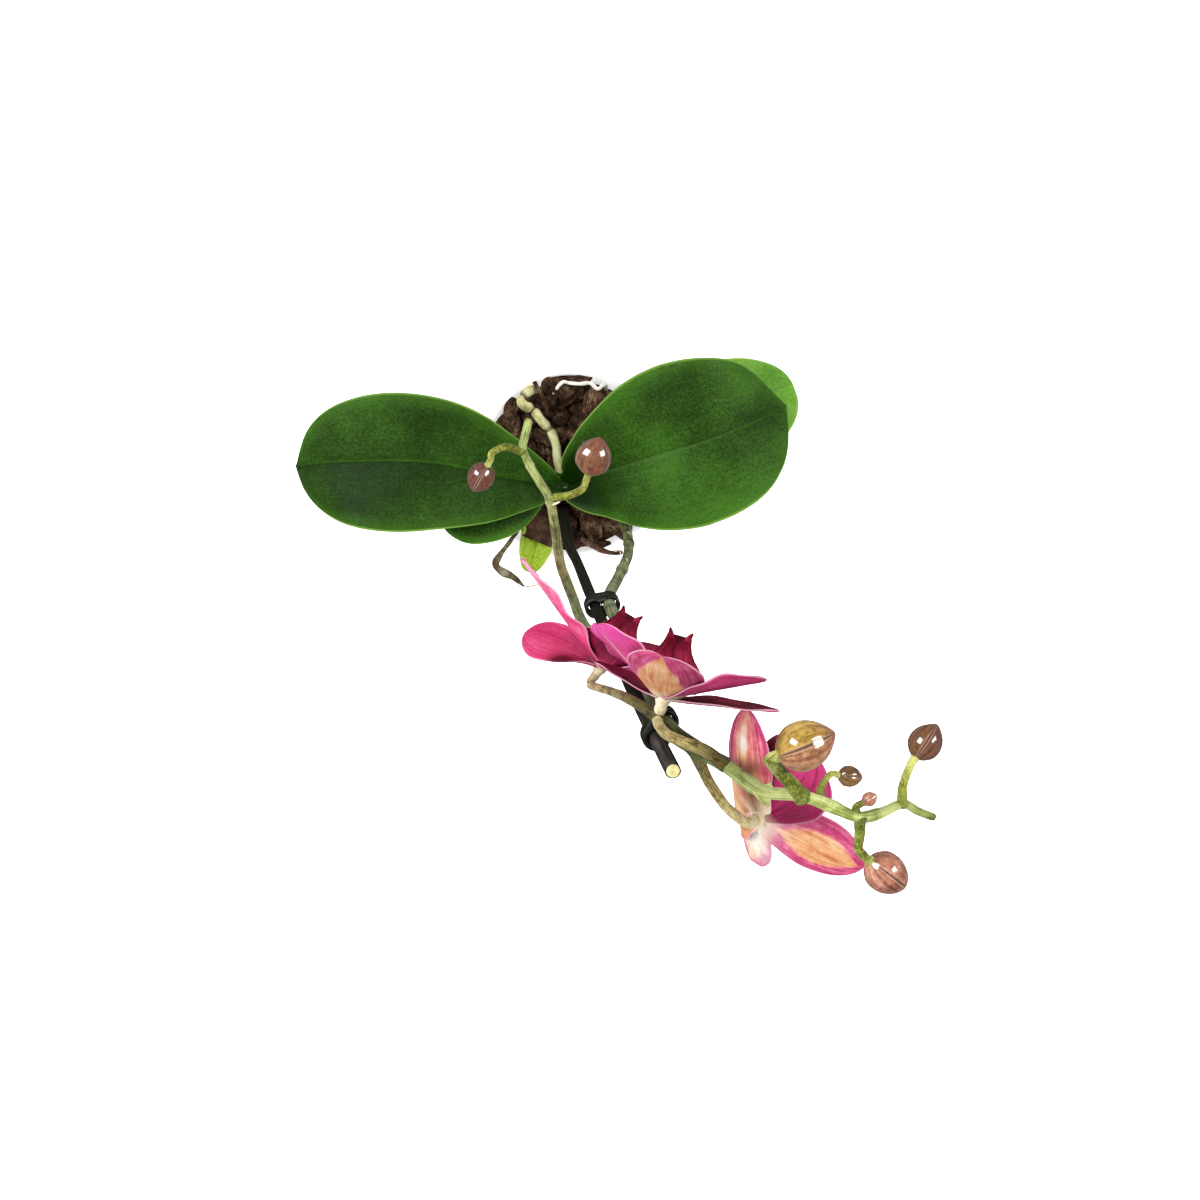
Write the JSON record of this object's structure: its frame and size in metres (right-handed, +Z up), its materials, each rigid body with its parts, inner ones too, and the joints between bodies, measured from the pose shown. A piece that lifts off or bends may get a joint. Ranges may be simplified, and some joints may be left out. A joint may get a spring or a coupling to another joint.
{
  "type": "potted moth orchid",
  "caption": "Moth orchid in a round white pot of bark chips, with broad leaves and a tall staked spike of magenta flowers and buds.",
  "frame": {"origin": "centre of the flat underside of the pot", "axes": "+Z up along the pot's axis, +X to the side of the broad pair of leaves' right leaf, +Y away from the side the spike leans to"},
  "size_m": [0.2969, 0.2052, 0.6157],
  "materials": {
    "glaze": "smooth white glaze",
    "bark": "rough broken bark",
    "leaf_green": "waxy dark green leaf",
    "leaf_pale": "waxy mid green leaf",
    "leaf_young": "waxy yellow-green leaf",
    "root_cream": "papery cream root skin",
    "root_dark": "dry dark root",
    "black_coat": "thin black coating",
    "black_plastic": "black moulded plastic",
    "stem_green": "smooth green stem, browner at its joints",
    "petal": "soft magenta petal with fine veins",
    "lip": "dark crimson, slightly glossy",
    "bud": "glossy pinkish tan"
  },
  "bodies": {
    "root": {"pot": "glaze", "bark_bed": "bark", "crown": "leaf_pale", "leaf_upper_left": "leaf_green", "leaf_upper_right": "leaf_green", "leaf_lower_left": "leaf_pale", "leaf_lower_right": "leaf_pale", "leaf_small_front": "leaf_young", "root_arched": "root_cream", "root_thin": "root_cream", "root_curled": "root_dark", "root_stub": "root_dark", "stake": "black_coat", "clip_lower": "black_plastic", "clip_upper": "black_plastic", "spike": "stem_green", "flower_1": "petal", "flower_2": "petal", "flower_3": "petal", "lip_1": "lip", "lip_2": "lip", "lip_3": "lip", "bud_branch_left": "bud", "bud_branch_right": "bud", "bud_big": "bud", "bud_small": "bud", "bud_tiny": "bud", "bud_top": "bud", "bud_low": "bud"}
  },
  "joints": []
}
